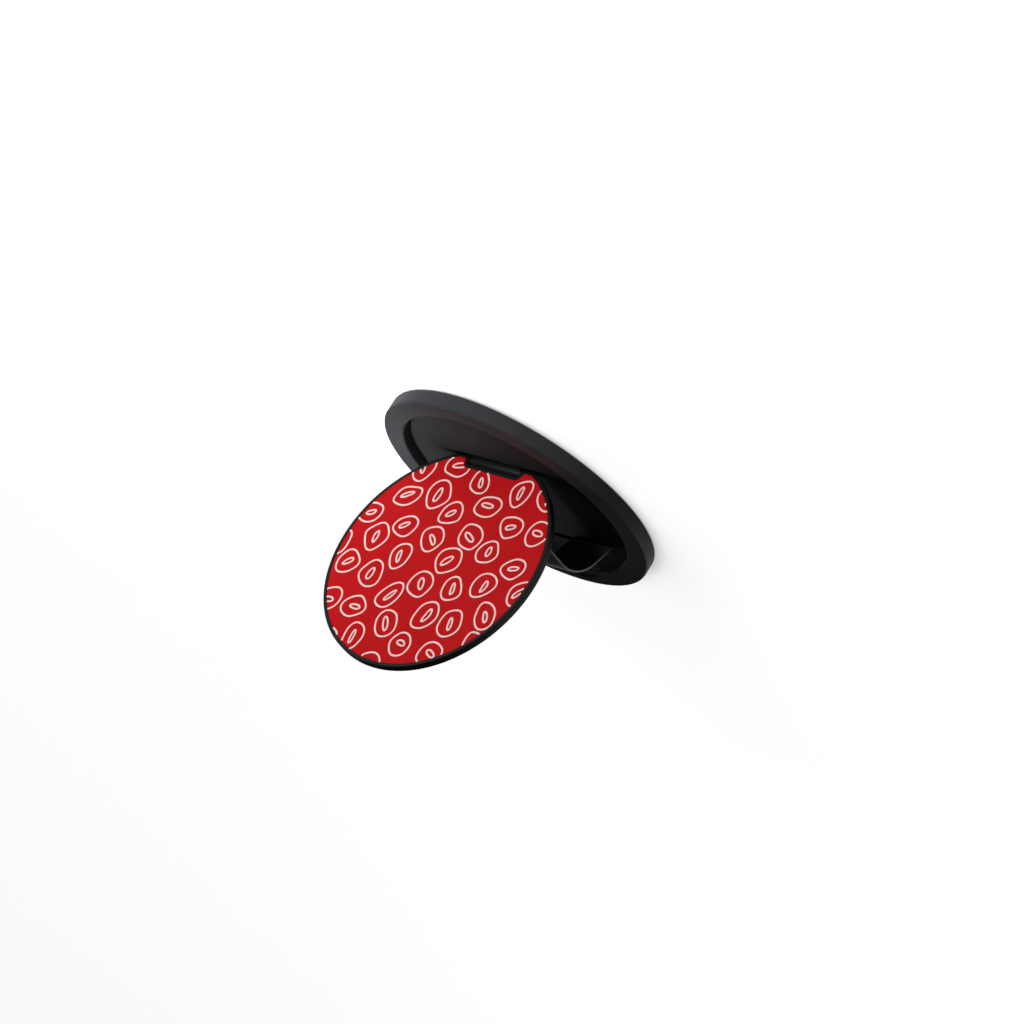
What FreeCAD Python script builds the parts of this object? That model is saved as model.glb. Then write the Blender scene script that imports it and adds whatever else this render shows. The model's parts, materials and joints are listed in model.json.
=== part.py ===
# Magnetic phone grip: a round magnetic base with a recess, a printed disc that stands up on a sliding
# hinge as a kickstand, and a flexible strap that makes a finger loop between the two.
# Millimetres. The origin is the middle of the magnetic face, which lies on z = 0, and +Z rises from
# it through the recess. X runs along the hinge pin. The disc is drawn closed, then set upright.
import FreeCAD, Part
import math
import os

V = FreeCAD.Vector

# Base ring
base_radius = 28.0
base_height = 3.1
base_edge_round = 0.45
base_foot_round = 0.225
rim_lift = 0.1
ring_width = 4.3
recess_edge_round = 0.35
groove_wall = 0.7
outer_wall = 0.95
scoop_half_width = 7.5
scoop_length = 6.6
scoop_margin = 1.5
scoop_floor_z = 1.95
scoop_round = 0.4

# Layers under the recess floor, from the magnetic face upwards
pad_thick = 0.2
pad_margin = 0.8
cover_thick = 0.25
cover_ledge = 0.75
tray_thick = 0.75
tray_flange = 0.4
tray_flange_thick = 0.35

# Magnets
magnet_count = 18
magnet_thick = 0.8
magnet_gap_deg = 1.6
shield_thick = 0.25

# Clearances
seat_gap = 0.05
running_gap = 0.05
press_gap = 0.01
slide_gap = 0.1
disc_gap = 0.25
notch_gap = 0.2
bond_gap = 0.03
strap_gap = 0.0125

# How far a cutting shape reaches past its piece, and the distance under which two places are one
cut_over = 1.0
touch = 0.001

# Disc
disc_thick = 1.15
rim_width = 0.7
rim_proud = 0.05
lip_depth = 0.35
lip_stop = 3.0
panel_thick = 0.3
core_thick = 0.2
core_margin = 1.2
disc_edge_round = 0.2
corner_round = 0.8
notch_round = 0.3

# Hinge
pin_radius = 0.4
pin_inset = 2.65
pin_y_open = 7.55
pin_z = 2.2
barrel_radius = 0.85
barrel_half = 5.95
ear_radius = 0.75
notch_flare = 0.8
washer_radius = 0.7

# Slider
tongue_half = 2.6
tongue_thick = 0.4
tongue_over = 0.6
tongue_round = 1.5
shoe_half = 3.15
shoe_thick = 0.3
shoe_length = 3.4
slot_cover = 0.2
stem_half = 1.1
rivet_radius = 0.45
rivet_head_radius = 0.8
rivet_head = 0.15
shoe_rivet_inset = 0.75

# Strap
strap_thick = 0.45
strap_half_width = 14.5
strap_window_half = 4.7
strap_pocket_wall = 0.51
strap_foot_length = 3.4
strap_rise_deg = 70.0
strap_top_z = 11.3
strap_root_bend = 2.6
strap_top_bend = 8.0
strap_disc_bend = 1.2
strap_end_z = 6.2
strap_end_round = 1.2
peg_radius = 0.4
peg_from_foot = 0.75
strap_bridge = 0.8

# Strap clamps on the disc's back
pocket_depth = 0.3
pocket_rise = 0.5
clamp_thick = 0.25
clamp_height = 3.2
clamp_margin = 0.4
clamp_round = 0.8
clamp_rivet_radius = 0.4
clamp_rivet_inset = 2.4
clamp_rivet_depth = 0.2
clamp_rivet_head = 0.12
clamp_rivet_head_radius = 0.8

# Heights and radii that follow from these
cover_top = pad_thick + cover_thick
floor_z = cover_top + tray_thick
recess_radius = base_radius - ring_width
flange_radius = recess_radius + tray_flange
cover_radius = base_radius - cover_ledge
groove_inner = flange_radius + seat_gap + groove_wall
groove_outer = base_radius - outer_wall
scoop_reach = base_radius - scoop_margin
scoop_centre_y = scoop_length - scoop_reach
shield_z = cover_top + magnet_thick
groove_roof = shield_z + shield_thick + seat_gap
disc_radius = recess_radius - disc_gap
disc_front_z = base_height
disc_back_z = disc_front_z - disc_thick
pin_from_centre = disc_radius - pin_inset
disc_chord = pin_from_centre + ear_radius
ear_end = math.sqrt(disc_radius ** 2 - disc_chord ** 2)
notch_top = pin_from_centre - barrel_radius - notch_gap
notch_half = barrel_half + notch_gap + running_gap
slide_travel = pin_from_centre - pin_y_open
slot_end_y = pin_y_open + barrel_radius - slot_cover
shoe_start_y = slot_end_y - slide_gap - slide_travel - shoe_length
tongue_end_y = shoe_start_y - tongue_over
shoe_z = cover_top + slide_gap / 2
channel_top = cover_top + slide_gap + shoe_thick
strap_pocket_end = strap_half_width + slide_gap
strap_pocket_corner = recess_radius - seat_gap - strap_pocket_wall
strap_foot_y = slide_gap - math.sqrt(strap_pocket_corner ** 2 - strap_pocket_end ** 2)
strap_root_y = strap_foot_y + strap_foot_length
peg_y = strap_foot_y + peg_from_foot
leg_mid = (strap_window_half + strap_half_width) / 2
strap_foot_z = cover_top + strap_gap + strap_thick / 2
panel_seat_z = disc_front_z - rim_proud - panel_thick
core_seat_z = panel_seat_z - core_thick
clamp_top_z = disc_back_z + pocket_depth - 2 * bond_gap - strap_thick


def outline(corners, place):
    """Closed wire through corners given as (u, v, rounding radius), set in space by place(u, v)."""
    points = [V(u, v, 0) for u, v, _ in corners]
    turns = []
    for i, (_, _, radius) in enumerate(corners):
        here = points[i]
        back = (points[i - 1] - here).normalize()
        ahead = (points[(i + 1) % len(points)] - here).normalize()
        if radius == 0:
            turns.append((here, None, here))
            continue
        half = back.getAngle(ahead) / 2
        reach = radius / math.tan(half)
        inward = (back + ahead).normalize()
        middle = here + inward * (radius / math.sin(half) - radius)
        turns.append((here + back * reach, middle, here + ahead * reach))
    edges = []
    for i, (start, middle, stop) in enumerate(turns):
        following = turns[(i + 1) % len(turns)][0]
        if middle is not None:
            bend = [place(p.x, p.y) for p in (start, middle, stop)]
            edges.append(Part.Arc(*bend).toShape())
        if (following - stop).Length > touch:
            edges.append(Part.LineSegment(place(stop.x, stop.y), place(following.x, following.y)).toShape())
    return Part.Wire(edges)


def revolved(corners):
    """Solid of revolution about Z from (radius, height, rounding) corners."""
    face = Part.Face(outline(corners, lambda u, v: V(u, 0, v)))
    return face.revolve(V(0, 0, 0), V(0, 0, 1), 360)


def plate(corners, low, high):
    """Flat plate from (x, y, rounding) corners between two heights."""
    face = Part.Face(outline(corners, lambda u, v: V(u, v, low)))
    return face.extrude(V(0, 0, high - low))


def block(x0, x1, y0, y1, z0, z1):
    """Box between two corners."""
    return Part.makeBox(x1 - x0, y1 - y0, z1 - z0, V(x0, y0, z0))


def ring(inner, outer, low, high):
    """Flat ring between two radii and two heights."""
    return revolved([(inner, low, 0), (outer, low, 0), (outer, high, 0), (inner, high, 0)])


def disc_solid(radius, low, high):
    """Round plate about Z."""
    return Part.makeCylinder(radius, high - low, V(0, 0, low))


def rod(radius, x0, x1, y, z):
    """Round bar along X."""
    return Part.makeCylinder(radius, x1 - x0, V(x0, y, z), V(1, 0, 0))


def edges_at_z(shape, z):
    """The edges of a shape that lie flat at a height."""
    return [e for e in shape.Edges if abs(e.BoundBox.ZMin - z) < touch and abs(e.BoundBox.ZMax - z) < touch]


def edges_near(shape, wanted):
    """The edges of a changed shape that still lie where the wanted ones did."""
    middles = [e.BoundBox.Center for e in wanted]
    return [e for e in shape.Edges if any((e.BoundBox.Center - m).Length < touch for m in middles)]


def both_sides(shape):
    """A shape and its mirror image across the middle plane x = 0."""
    return [shape, shape.mirror(V(0, 0, 0), V(1, 0, 0))]


def to_open(shape):
    """Stand a closed disc piece upright about the pin and slide it in to the open place."""
    turned = shape.copy()
    turned.rotate(V(0, pin_from_centre, pin_z), V(1, 0, 0), -90)
    turned.translate(V(0, -slide_travel, 0))
    return turned


# Base ring: one moulding with a groove for the magnets, open from below, and seats for tray and cover.
def base_ring():
    seat_z = cover_top + tray_flange_thick + seat_gap
    body = revolved([
        (recess_radius, seat_z, 0),
        (flange_radius + seat_gap, seat_z, 0),
        (flange_radius + seat_gap, cover_top, 0),
        (groove_inner, cover_top, 0),
        (groove_inner, groove_roof, 0),
        (groove_outer, groove_roof, 0),
        (groove_outer, cover_top, 0),
        (cover_radius + seat_gap, cover_top, 0),
        (cover_radius + seat_gap, rim_lift, 0),
        (base_radius, rim_lift, base_foot_round),
        (base_radius, base_height, base_edge_round),
        (recess_radius, base_height, recess_edge_round),
    ])
    # Thumb scoop at the disc's free end, where a finger lifts the closed disc.
    long_axis = V(scoop_half_width, scoop_centre_y, scoop_floor_z)
    short_axis = V(0, -scoop_reach, scoop_floor_z)
    oval = Part.Ellipse(long_axis, short_axis, V(0, scoop_centre_y, scoop_floor_z)).toShape()
    scoop = Part.Face(Part.Wire([oval])).extrude(V(0, 0, base_height))
    return body.cut(scoop.makeFillet(scoop_round, edges_at_z(scoop, scoop_floor_z)))


def root_bend_y(radius, z):
    """Where a face of the strap's bend out of the floor, of that radius, passes a height."""
    bend_start = strap_root_y - strap_root_bend * math.tan(math.radians(strap_rise_deg / 2))
    below_centre = strap_foot_z + strap_root_bend - z
    return bend_start + math.sqrt(max(radius ** 2 - below_centre ** 2, 0))


# Slide tray: the recess floor, with the slider's slot, the shoe's channel and the strap's slot and pocket.
def slide_tray():
    tray = revolved([
        (0, cover_top, 0),
        (flange_radius, cover_top, 0),
        (flange_radius, cover_top + tray_flange_thick, 0),
        (recess_radius - seat_gap, cover_top + tray_flange_thick, 0),
        (recess_radius - seat_gap, floor_z, 0),
        (0, floor_z, 0),
    ])
    first = shoe_start_y - slide_gap
    slot_half = stem_half + slide_gap
    channel_half = shoe_half + slide_gap
    tray = tray.cut(block(-slot_half, slot_half, first, slot_end_y, cover_top, floor_z))
    tray = tray.cut(block(-channel_half, channel_half, first, slot_end_y, cover_top, channel_top))
    pocket_z = cover_top + strap_thick + 2 * strap_gap
    slot_start = root_bend_y(strap_root_bend - strap_thick / 2, pocket_z) - slide_gap
    slot_end = root_bend_y(strap_root_bend + strap_thick / 2, floor_z) + slide_gap
    side = strap_pocket_end
    tray = tray.cut(block(-side, side, slot_start, slot_end, cover_top, floor_z))
    tray = tray.cut(block(-side, side, strap_foot_y - slide_gap, slot_end, cover_top, pocket_z))
    pegs = both_sides(Part.makeCylinder(peg_radius, pocket_z - cover_top, V(leg_mid, peg_y, cover_top)))
    return tray.fuse(pegs).removeSplitter()


def back_cover():
    return disc_solid(cover_radius, pad_thick, cover_top)


def grip_pad():
    return disc_solid(cover_radius - pad_margin, 0, pad_thick)


# Ring magnets: equal arc segments, side by side in the groove.
def ring_magnets():
    pitch = 360 / magnet_count
    full = ring(groove_inner + slide_gap, groove_outer - slide_gap, cover_top, shield_z)
    width = pitch - magnet_gap_deg
    wedge = Part.makeCylinder(base_radius, magnet_thick, V(0, 0, cover_top), V(0, 0, 1), width)
    segment = full.common(wedge)
    segments = []
    for i in range(magnet_count):
        turned = segment.copy()
        turned.rotate(V(0, 0, 0), V(0, 0, 1), i * pitch)
        segments.append(turned)
    return Part.makeCompound(segments)


def shield_ring():
    return ring(groove_inner + slide_gap, groove_outer - slide_gap, shield_z, shield_z + shield_thick)


def disc_blank(inset, low, high):
    """The disc's outline, taken in all round by inset: a circle with a flat and a flared notch."""
    far = disc_radius + cut_over
    flat = disc_chord - inset
    top = notch_top - inset
    narrow = notch_half + inset
    wide = narrow + notch_flare * (far - top) / (disc_chord - notch_top)
    blank = disc_solid(disc_radius - inset, low, high)
    blank = blank.cut(block(-far, far, flat, far, low, high))
    notch = plate([(-narrow, top, 0), (-wide, far, 0), (wide, far, 0), (narrow, top, 0)], low, high)
    blank = blank.cut(notch)
    upright = [e for e in blank.Edges if e.BoundBox.ZLength > touch and e.BoundBox.YMin > top - touch]
    inner = [e for e in upright if e.BoundBox.YMin < top + touch]
    outer = [e for e in upright if e.BoundBox.YMin > top + touch]
    blank = blank.makeFillet(max(corner_round - inset, notch_round), outer)
    return blank.makeFillet(notch_round + inset, edges_near(blank, inner))


# Disc plate: rim, web and the two ears that hold the hinge pin. A lip on the rim's back stops short of them.
def disc_plate():
    lip_z = disc_back_z - lip_depth
    lip_end = pin_from_centre - lip_stop
    body = disc_blank(0, lip_z, disc_front_z)
    body = body.makeFillet(disc_edge_round, edges_at_z(body, lip_z) + edges_at_z(body, disc_front_z))
    body = body.cut(disc_solid(disc_radius - rim_width, lip_z, disc_back_z))
    body = body.cut(block(-disc_radius, disc_radius, lip_end, disc_radius, lip_z, disc_back_z))
    for ear in both_sides(rod(ear_radius, notch_half, ear_end, pin_from_centre, pin_z)):
        body = body.fuse(ear)
    body = body.cut(disc_blank(rim_width, panel_seat_z, disc_front_z))
    body = body.cut(disc_blank(rim_width + core_margin, core_seat_z, disc_front_z))
    for bore in both_sides(rod(pin_radius + press_gap, 0, disc_radius, pin_from_centre, pin_z)):
        body = body.cut(bore)
    # Pockets on the back for the strap's two ends, and the blind holes of the clamp rivets.
    pocket_start = closed_y(strap_top_z + pocket_rise)
    pocket_end = closed_y(strap_end_z - pocket_rise)
    pocket = block(strap_window_half - slide_gap, strap_half_width + slide_gap, pocket_start, pocket_end,
                   disc_back_z, disc_back_z + pocket_depth)
    for cut in both_sides(pocket):
        body = body.cut(cut)
    hole_depth = pocket_depth + clamp_rivet_depth
    for x, y in clamp_rivet_places():
        body = body.cut(Part.makeCylinder(clamp_rivet_radius + press_gap, hole_depth, V(x, y, disc_back_z)))
    return body.removeSplitter()


def closed_y(open_z):
    """Where a height on the upright disc comes to lie along Y once the disc is closed."""
    return pin_from_centre - (open_z - pin_z)


def clamp_rivet_places():
    """Rivet centres on the closed disc, two on each clamp."""
    y = closed_y(strap_end_z + clamp_margin + clamp_height / 2)
    inner = strap_window_half + clamp_rivet_inset
    outer = strap_half_width - clamp_rivet_inset
    return [(x, y) for x in (-outer, -inner, inner, outer)]


def steel_core():
    return disc_blank(rim_width + core_margin + seat_gap, core_seat_z, panel_seat_z)


def print_panel():
    return disc_blank(rim_width + seat_gap, panel_seat_z, panel_seat_z + panel_thick)


def hinge_pin():
    return rod(pin_radius, -ear_end, ear_end, pin_from_centre, pin_z)


def hinge_washers():
    start = barrel_half + running_gap / 2
    stop = notch_half - running_gap / 2
    washer = rod(washer_radius, start, stop, pin_from_centre, pin_z)
    bore = rod(pin_radius + press_gap, 0, ear_end, pin_from_centre, pin_z)
    return Part.makeCompound(both_sides(washer.cut(bore)))


# Hinge slider: barrel round the pin, on a foot, with a tongue that lies on the recess floor.
def hinge_slider():
    sole = floor_z + running_gap
    barrel = rod(barrel_radius, -barrel_half, barrel_half, pin_y_open, pin_z)
    foot_start = pin_y_open - barrel_radius
    foot = block(-barrel_half, barrel_half, foot_start, pin_y_open + barrel_radius, sole, pin_z)
    tongue = plate([
        (-tongue_half, pin_y_open, 0),
        (-tongue_half, tongue_end_y, tongue_round),
        (tongue_half, tongue_end_y, tongue_round),
        (tongue_half, pin_y_open, 0),
    ], sole, sole + tongue_thick)
    body = barrel.fuse([foot, tongue]).removeSplitter()
    body = body.cut(rod(pin_radius + running_gap, -barrel_half, barrel_half, pin_y_open, pin_z))
    for y in shoe_rivet_places():
        body = body.cut(Part.makeCylinder(rivet_radius + press_gap, base_height, V(0, y, floor_z)))
    return body


def shoe_rivet_places():
    """Rivet centres along the shoe."""
    return [shoe_start_y + shoe_rivet_inset, shoe_start_y + shoe_length - shoe_rivet_inset]


# Slide shoe: runs in the channel under the floor, with its stem up through the slot.
def slide_shoe():
    stop = shoe_start_y + shoe_length
    shoe = block(-shoe_half, shoe_half, shoe_start_y, stop, shoe_z, shoe_z + shoe_thick)
    stem = block(-stem_half, stem_half, shoe_start_y, stop, shoe_z, floor_z + running_gap)
    body = shoe.fuse(stem).removeSplitter()
    for y in shoe_rivet_places():
        body = body.cut(Part.makeCylinder(rivet_radius + press_gap, base_height, V(0, y, 0)))
    return body


def shoe_rivets():
    top = floor_z + running_gap + tongue_thick
    rivets = []
    for y in shoe_rivet_places():
        shank = Part.makeCylinder(rivet_radius, top - shoe_z, V(0, y, shoe_z))
        head = Part.makeCylinder(rivet_head_radius, rivet_head, V(0, y, top))
        rivets.append(shank.fuse(head).removeSplitter())
    return Part.makeCompound(rivets)


def band(path, thick):
    """Outline of a strip of even thickness along a path of (y, z, bend radius) corners."""
    points = [V(y, z, 0) for y, z, _ in path]
    sides = {}
    for side in (1, -1):
        corners = []
        for i, (y, z, bend) in enumerate(path):
            before = (points[i] - points[i - 1]).normalize() if i > 0 else None
            after = (points[i + 1] - points[i]).normalize() if i < len(path) - 1 else None
            first = before or after
            second = after or before
            along = (first + second).normalize()
            normal = V(-along.y, along.x, 0)
            shift = side * thick / 2 / math.cos(first.getAngle(second) / 2)
            turning_left = first.cross(second).z > 0
            tighter = turning_left == (side > 0)
            radius = 0 if bend == 0 else bend + (-thick / 2 if tighter else thick / 2)
            moved = points[i] + normal * shift
            corners.append((moved.x, moved.y, radius))
        sides[side] = corners
    return sides[1] + sides[-1][::-1]


# Strap: one flexible piece with its foot under the floor and two legs that rise and run to the disc's back.
def strap():
    rise = math.tan(math.radians(strap_rise_deg))
    top_y = strap_root_y + (strap_top_z - strap_foot_z) / rise
    disc_back_y = pin_y_open + disc_back_z - pin_z
    end_y = disc_back_y + pocket_depth - bond_gap - strap_thick / 2
    path = [
        (strap_foot_y, strap_foot_z, 0),
        (strap_root_y, strap_foot_z, strap_root_bend),
        (top_y, strap_top_z, strap_top_bend),
        (end_y, strap_top_z, strap_disc_bend),
        (end_y, strap_end_z, 0),
    ]
    side_face = Part.Face(outline(band(path, strap_thick), lambda u, v: V(strap_window_half, u, v)))
    leg = side_face.extrude(V(strap_half_width - strap_window_half, 0, 0))
    tips = [e for e in edges_at_z(leg, strap_end_z) if e.BoundBox.XLength < touch]
    leg = leg.makeFillet(strap_end_round, tips)
    for x, y in clamp_rivet_places():
        hole_start = V(x, end_y - strap_thick, pin_z + pin_from_centre - y)
        hole = Part.makeCylinder(clamp_rivet_radius + slide_gap, 2 * strap_thick, hole_start, V(0, 1, 0))
        leg = leg.cut(hole)
    bridge = block(-strap_window_half, strap_window_half, strap_foot_y, strap_foot_y + strap_bridge,
                   strap_foot_z - strap_thick / 2, strap_foot_z + strap_thick / 2)
    body = bridge.fuse(both_sides(leg)).removeSplitter()
    for hole in both_sides(Part.makeCylinder(peg_radius + slide_gap, base_height, V(leg_mid, peg_y, 0))):
        body = body.cut(hole)
    return body


# Strap clamp: a thin plate that holds one strap end in its pocket on the disc's back.
def strap_clamp(side):
    start = closed_y(strap_end_z + clamp_margin + clamp_height)
    stop = closed_y(strap_end_z + clamp_margin)
    inner = strap_window_half + clamp_margin / 2
    outer = strap_half_width - clamp_margin / 2
    clamp = plate([
        (inner, start, clamp_round),
        (outer, start, clamp_round),
        (outer, stop, clamp_round),
        (inner, stop, clamp_round),
    ], clamp_top_z - clamp_thick, clamp_top_z)
    if side < 0:
        clamp = clamp.mirror(V(0, 0, 0), V(1, 0, 0))
    for x, y in clamp_rivet_places():
        clamp = clamp.cut(Part.makeCylinder(clamp_rivet_radius + press_gap, base_height, V(x, y, 0)))
    return clamp


def clamp_rivets():
    clamp_low = clamp_top_z - clamp_thick
    tip = disc_back_z + pocket_depth + clamp_rivet_depth
    rivets = []
    for x, y in clamp_rivet_places():
        shank = Part.makeCylinder(clamp_rivet_radius, tip - clamp_low, V(x, y, clamp_low))
        head_low = V(x, y, clamp_low - clamp_rivet_head)
        head = Part.makeCylinder(clamp_rivet_head_radius, clamp_rivet_head, head_low)
        rivets.append(shank.fuse(head).removeSplitter())
    return Part.makeCompound(rivets)


nodes = {
    "base_ring": base_ring(),
    "slide_tray": slide_tray(),
    "back_cover": back_cover(),
    "grip_pad": grip_pad(),
    "ring_magnets": ring_magnets(),
    "shield_ring": shield_ring(),
    "strap": strap(),
    "hinge_slider": hinge_slider(),
    "slide_shoe": slide_shoe(),
    "shoe_rivets": shoe_rivets(),
    "disc_plate": to_open(disc_plate()),
    "steel_core": to_open(steel_core()),
    "print_panel": to_open(print_panel()),
    "hinge_pin": to_open(hinge_pin()),
    "hinge_washers": to_open(hinge_washers()),
    "strap_clamp_right": to_open(strap_clamp(1)),
    "strap_clamp_left": to_open(strap_clamp(-1)),
    "clamp_rivets": to_open(clamp_rivets()),
}

os.makedirs("parts", exist_ok=True)
for name, shape in nodes.items():
    shape.exportStep("parts/" + name + ".step")
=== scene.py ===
"""Looks of a magnetic grip with a folding printed disc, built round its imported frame.

Sizes are in millimetres and become metres where a mesh is made. The recess opens along +Z, the hinge pin
lies along X, and the printed face of the upright disc looks along +Y.
"""
import json
import math

import bmesh
import bpy
from mathutils import Matrix, Vector


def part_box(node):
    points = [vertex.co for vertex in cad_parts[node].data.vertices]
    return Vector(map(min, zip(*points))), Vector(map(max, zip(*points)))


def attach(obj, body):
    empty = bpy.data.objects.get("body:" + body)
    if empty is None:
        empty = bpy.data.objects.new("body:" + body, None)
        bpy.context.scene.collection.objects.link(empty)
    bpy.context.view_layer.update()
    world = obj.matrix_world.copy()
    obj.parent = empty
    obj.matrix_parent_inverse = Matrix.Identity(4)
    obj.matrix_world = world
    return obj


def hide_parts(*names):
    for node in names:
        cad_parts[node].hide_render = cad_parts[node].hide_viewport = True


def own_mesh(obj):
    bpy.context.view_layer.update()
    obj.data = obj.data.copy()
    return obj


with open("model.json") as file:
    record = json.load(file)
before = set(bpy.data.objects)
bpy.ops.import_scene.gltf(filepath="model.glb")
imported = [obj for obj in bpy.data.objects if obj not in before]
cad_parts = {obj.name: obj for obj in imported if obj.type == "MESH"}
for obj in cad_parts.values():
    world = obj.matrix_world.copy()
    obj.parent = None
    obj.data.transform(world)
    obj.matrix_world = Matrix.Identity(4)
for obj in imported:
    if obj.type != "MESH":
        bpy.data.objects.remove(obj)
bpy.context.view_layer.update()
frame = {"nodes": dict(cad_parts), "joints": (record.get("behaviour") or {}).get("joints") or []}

# Base ring: the round body of the grip, one black polycarbonate moulding with a satin spark finish.
# A groove in its underside holds the magnets, and a scoop in its rim lets a thumb lift the disc.
mm = 0.001
base_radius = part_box("base_ring")[1].x / mm
base_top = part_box("base_ring")[1].z / mm
base_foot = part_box("base_ring")[0].z / mm
disc_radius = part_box("disc_plate")[1].x / mm
disc_clearance = 0.25
recess_radius = disc_radius + disc_clearance
tray_flange_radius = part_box("slide_tray")[1].x / mm
cover_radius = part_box("back_cover")[1].x / mm
cover_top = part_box("back_cover")[1].z / mm
seat_gap = 0.05
tray_flange_thick = 0.35
tray_seat = cover_top + tray_flange_thick + seat_gap
groove_wall = 0.7
outer_wall = 0.95
groove_inner = tray_flange_radius + seat_gap + groove_wall
groove_outer = base_radius - outer_wall
groove_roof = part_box("shield_ring")[1].z / mm + seat_gap
base_edge_round = 0.45
base_foot_round = 0.225
lip_round = 0.35
scoop_half_width = 7.5
scoop_centre = 19.9
scoop_reach = 26.5
scoop_floor = 1.95
scoop_round = 0.4
round_steps = 7
ring_steps = 300
scoop_steps = 60
crease_angle = math.radians(32)
flat_hold = 0.03
arc_points = round_steps + 3
weld = 1e-4 * mm


def srgb(hex_colour):
    """Linear colour of an sRGB hex value, opaque."""
    channels = [int(hex_colour[i:i + 2], 16) / 255 for i in (1, 3, 5)]
    return [c / 12.92 if c <= 0.04045 else ((c + 0.055) / 1.055) ** 2.4 for c in channels] + [1.0]


def add(tree, kind, inputs=None, **settings):
    """Add a node with its settings, and set or link its inputs."""
    made = tree.nodes.new(kind)
    for name, value in settings.items():
        setattr(made, name, value)
    for name, value in (inputs or {}).items():
        if isinstance(value, bpy.types.NodeSocket):
            tree.links.new(value, made.inputs[name])
        else:
            made.inputs[name].default_value = value
    return made


def new_material(name):
    """An empty node material and its tree."""
    material = bpy.data.materials.new(name)
    material.use_nodes = True
    material.node_tree.nodes.clear()
    return material, material.node_tree


def corner_arc(corner, before, after, radius, steps=round_steps, hold=flat_hold):
    """Points of the arc that rounds a corner, with one more at each end to keep the flats shaded flat."""
    corner, before, after = Vector(corner), Vector(before), Vector(after)
    back = (before - corner).normalized()
    ahead = (after - corner).normalized()
    half = back.angle(ahead) / 2
    centre = corner + (back + ahead).normalized() * (radius / math.sin(half))
    start = corner + back * (radius / math.tan(half)) - centre
    stop = corner + ahead * (radius / math.tan(half)) - centre
    turn = start.angle(stop)
    arc = [
        centre + (start * math.sin((1 - t) * turn) + stop * math.sin(t * turn)) / math.sin(turn)
        for t in (i / steps for i in range(steps + 1))
    ]
    return [arc[0] + back * hold] + arc + [arc[-1] + ahead * hold]


def placed(name, data, body, slot, *nodes):
    """Put a mesh into the scene as a piece that rides a body and stands for the named solids."""
    data.set_sharp_from_angle(angle=crease_angle)
    piece = bpy.data.objects.new(name, data)
    bpy.context.scene.collection.objects.link(piece)
    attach(piece, body)
    if nodes:
        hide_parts(*nodes)
    return piece


def finished(name, mesh, material, body, slot, *nodes):
    """Turn a drawn mesh into a piece of one material."""
    bmesh.ops.remove_doubles(mesh, verts=mesh.verts, dist=weld)
    bmesh.ops.recalc_face_normals(mesh, faces=mesh.faces)
    data = bpy.data.meshes.new(name)
    mesh.to_mesh(data)
    mesh.free()
    data.materials.append(material)
    return placed(name, data, body, slot, *nodes)


def skin(mesh, sections, closed):
    """Join a row of like sections, each a closed loop of points in millimetres, with smooth faces."""
    loops = [[mesh.verts.new(Vector(p) * mm) for p in section] for section in sections]
    ahead = loops[1:] + loops[:1] if closed else loops[1:]
    for here, there in zip(loops, ahead):
        for i in range(len(here)):
            mesh.faces.new((here[i - 1], here[i], there[i], there[i - 1])).smooth = True
    if not closed:
        mesh.faces.new(loops[0])
        mesh.faces.new(loops[-1])


def base_section(wall):
    """Half section of the ring as (radius, height), where its inner wall stands at a given radius."""
    reach = wall - recess_radius
    fillet = min(scoop_round, reach)
    points = [(recess_radius, tray_seat), (recess_radius, scoop_floor)]
    if fillet > 0:
        points += corner_arc(
            (wall, scoop_floor), (recess_radius, scoop_floor), (wall, base_top), fillet, hold=0
        )
    else:
        points += [(recess_radius, scoop_floor)] * arc_points
    points += corner_arc((wall, base_top), (wall, 0), (base_radius, base_top), lip_round)
    points += corner_arc((base_radius, base_top), (0, base_top), (base_radius, 0), base_edge_round)
    points += corner_arc((base_radius, base_foot), (base_radius, base_top), (0, base_foot), base_foot_round)
    points += [
        (cover_radius + seat_gap, base_foot),
        (cover_radius + seat_gap, cover_top),
        (groove_outer, cover_top),
        (groove_outer, groove_roof),
        (groove_inner, groove_roof),
        (groove_inner, cover_top),
        (tray_flange_radius + seat_gap, cover_top),
        (tray_flange_radius + seat_gap, tray_seat),
    ]
    return points


def scoop_point(t):
    """Polar place on the scoop's oval, as (angle from -Y, radius)."""
    x = scoop_half_width * math.cos(t)
    y = scoop_centre + (scoop_reach - scoop_centre) * math.sin(t)
    return math.atan2(x, y), math.hypot(x, y)


scoop_start = 0.0
scoop_search = 0.001
while scoop_point(scoop_start)[1] < recess_radius:
    scoop_start += scoop_search
scoop_edge = scoop_point(scoop_start)[0]
stations = [
    (scoop_edge + (2 * math.pi - 2 * scoop_edge) * i / ring_steps, recess_radius)
    for i in range(ring_steps + 1)
]
stations += [
    scoop_point(math.pi - scoop_start - (math.pi - 2 * scoop_start) * i / scoop_steps)
    for i in range(1, scoop_steps)
]
sections = []
for angle, wall in stations:
    sections.append([(r * math.sin(angle), -r * math.cos(angle), z) for r, z in base_section(wall)])


def grain(tree, size, height):
    """Bumps of a size and height in millimetres, as a normal for a surface."""
    place = add(tree, "ShaderNodeTexCoord").outputs["Object"]
    noise = add(tree, "ShaderNodeTexNoise", {"Vector": place, "Scale": 1 / (size * mm), "Detail": 2.0})
    bump = {"Height": noise.outputs["Fac"], "Distance": height * mm}
    return add(tree, "ShaderNodeBump", bump).outputs["Normal"]


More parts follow.
